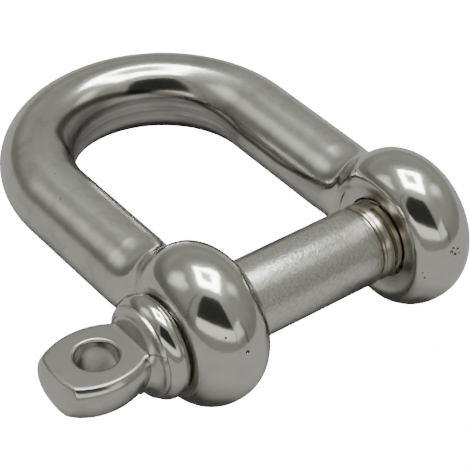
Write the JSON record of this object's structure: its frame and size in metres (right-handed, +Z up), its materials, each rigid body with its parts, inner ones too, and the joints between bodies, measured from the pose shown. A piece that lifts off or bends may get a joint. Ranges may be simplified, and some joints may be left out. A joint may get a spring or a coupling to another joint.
{
  "type": "shackle",
  "caption": "Screw-pin D shackle: a round bar bent to a D with a boss on each end, closed by a screw pin with a flat eye and a collar.",
  "frame": {"origin": "on the floor under the middle of the bounding box, with the shackle lying on both lugs and its crown and the pin screwed home", "axes": "+X along the pin from its eye towards the tapped lug, +Y from the pin towards the crown, +Z up; the body's plane tilts 6.5 degrees about X because the lugs are thicker than the bar"},
  "size_m": [0.0685, 0.0726, 0.0244],
  "materials": {
    "polished_steel": "polished stainless steel with a faint orange peel and a few small casting pits",
    "turned_steel": "bright stainless steel: turned shank, satin eye flats, polished collar"
  },
  "bodies": {
    "shackle": {"shackle_body": "polished_steel"},
    "pin": {"screw_pin": "turned_steel"}
  },
  "joints": [
    {"name": "pin_draw", "type": "slide", "parent": "shackle", "child": "pin", "axis": [-1, 0, 0], "range_m": [0, 0.055]}
  ]
}
